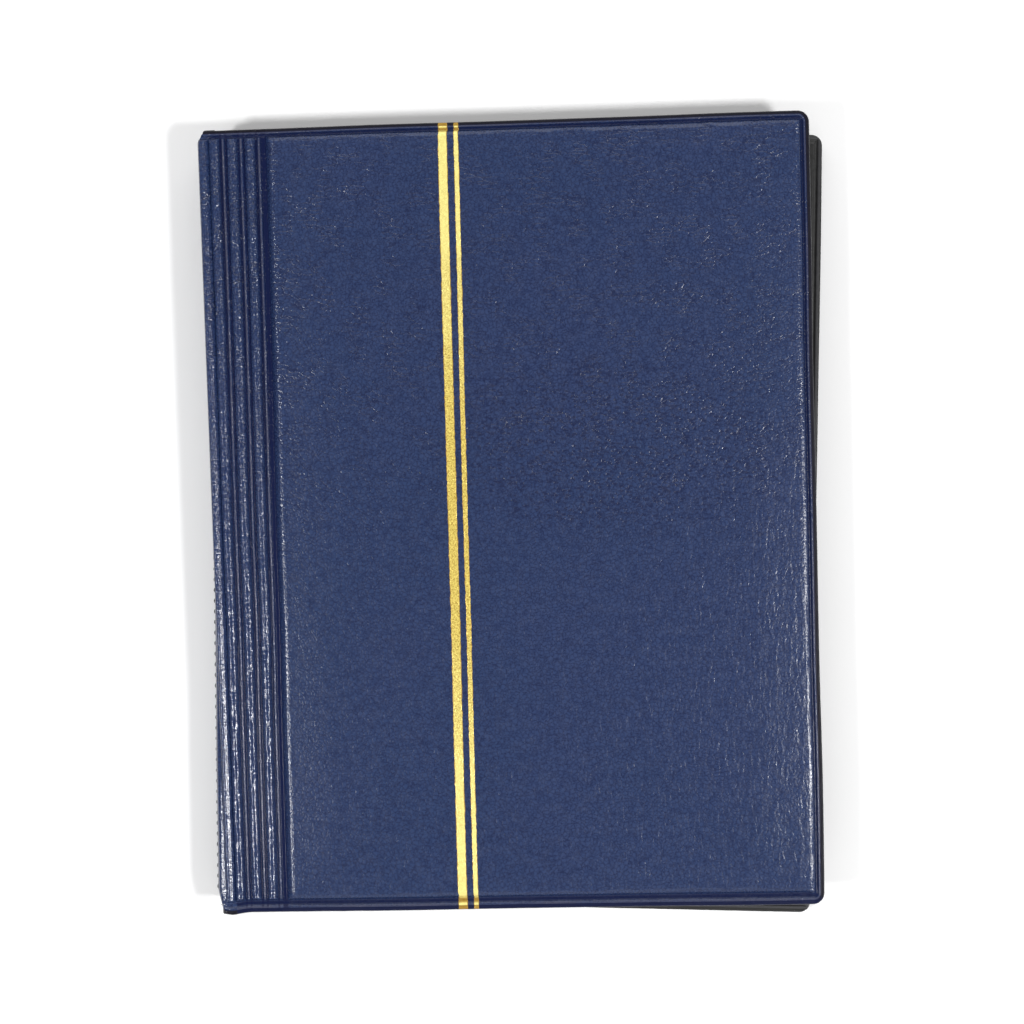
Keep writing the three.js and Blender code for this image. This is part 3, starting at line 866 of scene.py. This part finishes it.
def vinyl():
    """Navy leather-grain vinyl: pebbles, creases that lie along the head and up the fore-edge, and pores."""
    s = Shader("navy_leather_grain_vinyl", roughness=0.34)
    x, y = s.axis(0), s.axis(1)
    warped = s.moved(s.grain, 0.55, 1.1)
    pebble = s.between(s.cells(0.95, warped, "DISTANCE_TO_EDGE"), 0.0, 0.3)
    fine = s.noise(2.6, 3.0)
    wide = s.noise(0.5, 2.0)
    head = s.between(s.math("ADD", y, s.math("MULTIPLY", s.noise(0.03), 60.0)), 0.0, 75.0, 0.25, 1.0)
    wander = s.math("MULTIPLY", s.noise(0.035), 60.0)
    fore = s.between(s.math("SUBTRACT", s.math("ADD", x, wander), y), 40.0, 115.0)

    def folds(scale, stretch, turn, width):
        """1 along the edges of stretched cells, fading out over the width."""
        edge = s.cells(scale, s.scaled(stretch, turn, warped), "DISTANCE_TO_EDGE")
        return s.between(edge, 0.0, width, 1.0, 0.0)

    across = folds(0.62, (0.45, 1.2, 1), 0.12, 0.13)
    upward = folds(0.5, (1.3, 0.36, 1), 0.12, 0.36)
    long = folds(0.16, (1.3, 0.3, 1), 0.2, 0.16)
    across = s.math("MULTIPLY", across, s.math("MULTIPLY", head, s.between(s.noise(0.16, 3.0), 0.35, 0.65)))
    upward = s.math("MULTIPLY", upward, s.math("MULTIPLY", fore, s.between(s.noise(0.13, 3.0), 0.2, 0.55)))
    long = s.math("MULTIPLY", long, s.math("MULTIPLY", fore, s.between(s.noise(0.09, 2.0), 0.35, 0.6)))
    patch_x = s.math("DIVIDE", s.math("SUBTRACT", x, 26.0), 46.0)
    patch_y = s.math("DIVIDE", s.math("SUBTRACT", y, 20.0), 24.0)
    radius = s.math("ADD", s.math("MULTIPLY", patch_x, patch_x), s.math("MULTIPLY", patch_y, patch_y))
    patch = s.between(s.math("ADD", radius, s.math("MULTIPLY", s.noise(0.12), 1.3)), 0.9, 2.1, 1.0, 0.0)
    pore = s.between(s.cells(0.66, s.moved(s.scaled((0.85, 1.4, 1), 0.3), 1.4, 0.5)), 0.15, 0.5, 1.0, 0.0)
    pore = s.math("MULTIPLY", s.math("MULTIPLY", pore, patch), s.between(s.noise(0.4, 2.0), 0.3, 0.5))
    # Up the fore-edge the even grain gives way to long creases.
    grain = s.math("MULTIPLY_ADD", pebble, 0.034, s.math("MULTIPLY", fine, 0.042))
    height = s.math("MULTIPLY", grain, s.between(fore, 0.0, 1.0, 1.0, 0.7))
    height = s.math("MULTIPLY_ADD", wide, 0.05, height)
    height = s.math("MULTIPLY_ADD", across, -0.065, height)
    height = s.math("MULTIPLY_ADD", upward, 0.05, height)
    height = s.math("MULTIPLY_ADD", long, 0.04, height)
    height = s.math("MULTIPLY_ADD", pore, -0.09, height)
    calm = s.between(s.weld, 0.3, 0.9, 1.0, 0.35)
    loose = s.between(s.math("SUBTRACT", x, s.math("MULTIPLY", y, 0.35)), -64.0, 60.0, 0.68, 0.7)
    # The hinge's grain is coarser at the head, and pressed smooth and shiny towards the foot.
    hinge = s.between(x, -66.0, -62.0, 1.0, 0.0)
    pressed = s.math("SUBTRACT", s.between(y, -80.0, 10.0, 0.87, 1.75), 1.0)
    loose = s.math("MULTIPLY", loose, s.math("MULTIPLY_ADD", hinge, pressed, 1.0))
    s.bump(s.math("MULTIPLY", height, s.math("MULTIPLY", calm, loose)), 1.0)
    s.fill(s.surface.inputs["Specular IOR Level"], s.between(s.weld, 0.1, 0.6, 0.5, 0.16))
    cloud = s.noise(0.022, 3.0)
    colour = s.mix(s.between(cloud, 0.3, 0.7), (0.0195, 0.0385, 0.108, 1), (0.0225, 0.040, 0.111, 1))
    # Painted shade: the grain's hollows and the cross folds go darker navy, and so do the pores.
    crease_shade = s.math("MULTIPLY", s.math("SUBTRACT", 1.0, pebble), s.between(fine, 0.35, 0.65, 0.25, 1.0))
    crease_shade = s.math("ADD", crease_shade, s.math("ADD", pore, s.math("MULTIPLY", across, 0.5)), clamp=True)
    colour = s.mix(crease_shade, colour, (0.007, 0.014, 0.055, 1))
    # Painted shade: the hinge's grooves and the rim's valley go deep blue, and the welded lip and the turned
    # rim sides go near black.
    colour = s.mix(s.between(s.weld, 0.0, 0.6), colour, (0.0045, 0.0085, 0.043, 1))
    colour = s.mix(s.between(s.weld, 0.65, 1.0), colour, (0.0075, 0.0072, 0.0135, 1))
    # Painted highlight: a lighter purple-grey line along the rim's ridge and on the beads.
    s.colour(s.mix(s.between(s.ridge, 0.2, 1.0), colour, (0.042, 0.046, 0.088, 1)))
    rough = s.between(s.noise(0.35, 3.0), 0.3, 0.75, 0.23, 0.31)
    rough = s.math("MULTIPLY", rough, s.between(s.weld, 0.3, 0.9, 1.0, 1.5))
    s.roughness(s.math("MULTIPLY", rough, s.between(x, -66.0, -60.0, 0.7, 1.0)))
    return s.material


def gold_foil():
    s = Shader("stamped_gold_foil", metallic=0.3, roughness=0.35)
    y = s.math("ADD", s.axis(1), s.math("MULTIPLY_ADD", s.noise(0.05), 50.0, -25.0))
    ends = s.between(s.math("ABSOLUTE", y), 20.0, 85.0)
    whole = s.between(s.noise(2.2, 4.0), 0.36, 0.56, 0.25, 1.0)
    whole = s.math("MAXIMUM", whole, s.math("MULTIPLY", ends, 0.9))
    # Where the weld value is high the foil shows dark brown: painted shade in the rim's valley and on the
    # lip, and a dark line along both edges of the stripe; elsewhere the dark brown is worn foil.
    whole = s.math("MULTIPLY", whole, s.between(s.weld, 0.1, 0.5, 1.0, 0.0))
    foil = s.mix(ends, (0.74, 0.58, 0.13, 1), (0.94, 0.82, 0.27, 1))
    s.colour(s.mix(whole, (0.36, 0.21, 0.025, 1), foil))
    s.roughness(s.between(s.noise(1.3, 3.0), 0.3, 0.7, 0.28, 0.46))
    pebble = s.between(s.cells(1.05, s.moved(s.grain, 0.55, 1.1), "DISTANCE_TO_EDGE"), 0.0, 0.26)
    s.bump(s.math("MULTIPLY_ADD", pebble, 0.03, s.math("MULTIPLY", s.noise(3.4, 2.0), 0.04)), 1.0)
    return s.material


def black_lining():
    s = Shader("black_smooth_vinyl", roughness=0.45)
    black = s.mix(s.noise(0.08, 3.0), (0.006, 0.006, 0.0065, 1), (0.012, 0.0125, 0.0125, 1))
    # Painted highlight: a lighter grey line along the welt near the lining's edge.
    s.colour(s.mix(s.weld, black, (0.032, 0.032, 0.036, 1)))
    s.roughness(s.between(s.noise(0.6, 3.0), 0.3, 0.7, 0.38, 0.52))
    s.bump(s.math("ADD", s.cells(1.6), s.noise(4.0, 2.0)), 0.02)
    return s.material


def seam_vinyl():
    s = Shader("dark_weld_vinyl", roughness=0.4)
    s.colour(s.mix(s.noise(0.9, 3.0), (0.010, 0.011, 0.016, 1), (0.030, 0.032, 0.040, 1)))
    s.roughness(s.between(s.noise(1.4, 2.0), 0.3, 0.7, 0.34, 0.5))
    s.bump(s.noise(3.0, 3.0), 0.04)
    return s.material


def linen():
    s = Shader("black_linen_weave", roughness=0.85)
    x, y = s.axis(0), s.axis(1)
    warp = s.math("SINE", s.math("MULTIPLY", x, 2 * math.pi / 0.42))
    weft = s.math("SINE", s.math("MULTIPLY", y, 2 * math.pi / 0.42))
    weave = s.math("MULTIPLY", warp, weft)
    s.colour(s.mix(s.between(weave, -0.8, 0.8), (0.010, 0.010, 0.011, 1), (0.030, 0.030, 0.033, 1)))
    s.roughness(s.between(s.noise(1.2), 0.3, 0.7, 0.78, 0.92))
    s.bump(s.math("ADD", weave, s.noise(2.0)), 0.05)
    return s.material


def black_card():
    s = Shader("black_album_card", roughness=0.8)
    s.colour(s.mix(s.noise(0.7, 5.0), (0.007, 0.007, 0.008, 1), (0.014, 0.014, 0.015, 1)))
    s.roughness(s.between(s.noise(1.5, 4.0), 0.3, 0.7, 0.7, 0.86))
    s.bump(s.noise(2.5, 5.0, rough=0.65), 0.03)
    return s.material


def clear_film():
    s = Shader("clear_pocket_film", roughness=0.09, alpha=0.07)
    s.colour(s.mix(s.noise(0.06, 2.0), (0.78, 0.82, 0.84, 1), (0.88, 0.91, 0.92, 1)))
    s.roughness(s.between(s.noise(0.25, 3.0), 0.35, 0.7, 0.06, 0.16))
    s.bump(s.noise(0.12, 2.0), 0.12)
    return s.material


def glassine_paper():
    s = Shader("glassine_paper", roughness=0.4, alpha=0.72)
    s.colour(s.mix(s.noise(0.35, 5.0), (0.70, 0.69, 0.62, 1), (0.80, 0.79, 0.73, 1)))
    s.roughness(s.between(s.noise(0.5, 3.0), 0.3, 0.7, 0.33, 0.5))
    s.bump(s.noise(0.08, 3.0), 0.2)
    return s.material


def cad_finish(name, dark, light, rough, scale, depth):
    """A plain grained finish for CAD nodes, which carry no grain attribute."""
    s = Shader(name, roughness=rough)
    place = s.node("ShaderNodeTexCoord").outputs["Object"]
    s.grain = s.scaled((1 / MM, 1 / MM, 1 / MM), 0.0, place)
    s.colour(s.mix(s.noise(scale, 4.0), (*dark, 1), (*light, 1)))
    s.roughness(s.between(s.noise(scale * 1.7, 3.0), 0.3, 0.7, rough - 0.08, min(rough + 0.08, 1.0)))
    s.bump(s.noise(scale * 3, 4.0), depth)
    return s.material


def grey_board():
    s = Shader("grey_spine_board", roughness=0.88)
    s.colour(s.mix(s.noise(0.9, 4.0), (0.20, 0.18, 0.14, 1), (0.33, 0.29, 0.22, 1)))
    s.roughness(s.between(s.noise(1.5, 3.0), 0.3, 0.7, 0.8, 0.94))
    s.bump(s.noise(2.7, 4.0), 0.06)
    return s.material


def finish_cad_nodes():
    board = cad_finish("grey_binding_board", (0.20, 0.18, 0.14), (0.33, 0.29, 0.22), 0.88, 0.9, 0.06)
    foam = cad_finish("white_padding_foam", (0.62, 0.60, 0.54), (0.76, 0.74, 0.68), 0.9, 1.4, 0.15)
    tape = cad_finish("black_binding_tape", (0.010, 0.010, 0.012), (0.028, 0.028, 0.030), 0.85, 1.1, 0.05)
    lining = cad_finish("black_spine_lining", (0.012, 0.012, 0.013), (0.024, 0.024, 0.025), 0.5, 0.6, 0.03)
    finishes = {
        "front_cover_board": board, "back_cover_board": board,
        "front_cover_foam": foam, "back_cover_foam": foam, "binding_tape": tape, "spine_lining": lining,
    }
    for name, material in finishes.items():
        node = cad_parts[name]
        node.data.materials.clear()
        node.data.materials.append(material)


# ---------- the stage ----------

def paper_floor():
    s = Shader("pale_floor", roughness=0.9)
    place = s.node("ShaderNodeTexCoord").outputs["Object"]
    s.grain = s.scaled((1 / MM, 1 / MM, 1 / MM), 0.0, place)
    s.colour(s.mix(s.noise(0.02, 3.0), (0.94, 0.94, 0.94, 1), (0.97, 0.97, 0.97, 1)))
    mesh = bpy.data.meshes.new("floor")
    side = 4.0
    corners = [(-side, -side, 0), (side, -side, 0), (side, side, 0), (-side, side, 0)]
    mesh.from_pydata(corners, [], [(0, 1, 2, 3)])
    mesh.materials.append(s.material)
    floor = bpy.data.objects.new("floor", mesh)
    floor.location.z = -0.0002
    bpy.context.scene.collection.objects.link(floor)


def soft_light(name, place, size, watts):
    """A white rectangle that faces the book."""
    data = bpy.data.lights.new(name, "AREA")
    data.shape = "RECTANGLE"
    data.size, data.size_y = size
    data.energy = watts
    lamp = bpy.data.objects.new(name, data)
    lamp.location = place
    lamp.rotation_euler = (-Vector(place)).to_track_quat("-Z", "Y").to_euler()
    bpy.context.scene.collection.objects.link(lamp)


def studio():
    world = bpy.data.worlds.new("studio")
    bpy.context.scene.world = world
    world.use_nodes = True
    background = world.node_tree.nodes["Background"]
    background.inputs["Color"].default_value = (1, 1, 1, 1)
    background.inputs["Strength"].default_value = 0.24
    soft_light("key_right", (0.6, -0.2, 0.9), (0.16, 0.12), 6.8)
    soft_light("key_left", (-0.62, -0.23, 0.85), (0.16, 0.12), 4.6)
    soft_light("fill_head", (0.0, 1.0, 0.8), (1.8, 0.9), 8.0)
    soft_light("fill_foot", (0.0, -1.0, 0.8), (1.8, 0.9), 3.4)
    bpy.context.scene.view_settings.view_transform = "Standard"


# The lens and how far the camera leans and stands off, for a photograph taken from overhead.
LENS = 70
LEAN_X, LEAN_Y, CAMERA_ROLL = math.radians(1.83), math.radians(-2.55), math.radians(0.36)
CAMERA_AT = Vector((-1.08, 1.98, 550.0)) * MM
CAMERA_PIVOT = Vector((0, 0, 8.5)) * MM


def camera():
    """The camera frame is the book's frame leant by two small angles and a roll."""
    data = bpy.data.cameras.new("camera")
    data.lens = LENS
    eye = bpy.data.objects.new("camera", data)
    roll = Matrix.Rotation(CAMERA_ROLL, 3, "Z")
    lean = Matrix.Rotation(LEAN_Y, 3, "Y") @ Matrix.Rotation(LEAN_X, 3, "X")
    to_world = (roll @ lean).transposed()
    eye.matrix_world = Matrix.Translation(to_world @ CAMERA_AT + CAMERA_PIVOT) @ to_world.to_4x4()
    bpy.context.scene.collection.objects.link(eye)
    bpy.context.scene.camera = eye


# ---------- the book ----------

def book():
    skin, lining = vinyl(), black_lining()
    for side in ("front", "back"):
        cover = Cover(side)
        cover_skins(cover, skin)
        cover_wrap(cover, skin)
        cover_lining(cover, lining)
        fold_strip(cover.front, lining)
    foil = gold_foil()
    for name, centre, width in STRIPES:
        gold_stripe(Cover("front"), name, centre, width, foil)
    seam(seam_vinyl())
    spine_board(grey_board())
    card, weave, film, paper = black_card(), linen(), clear_film(), glassine_paper()
    for number in range(1, LEAF_COUNT + 1):
        leaf_card(number, card)
        leaf_hinge(number, weave)
        for face in ("front", "back"):
            leaf_pockets(number, face, film)
    for number in range(1, LEAF_COUNT):
        glassine(number, paper)
    finish_cad_nodes()


camera()
studio()
paper_floor()
book()
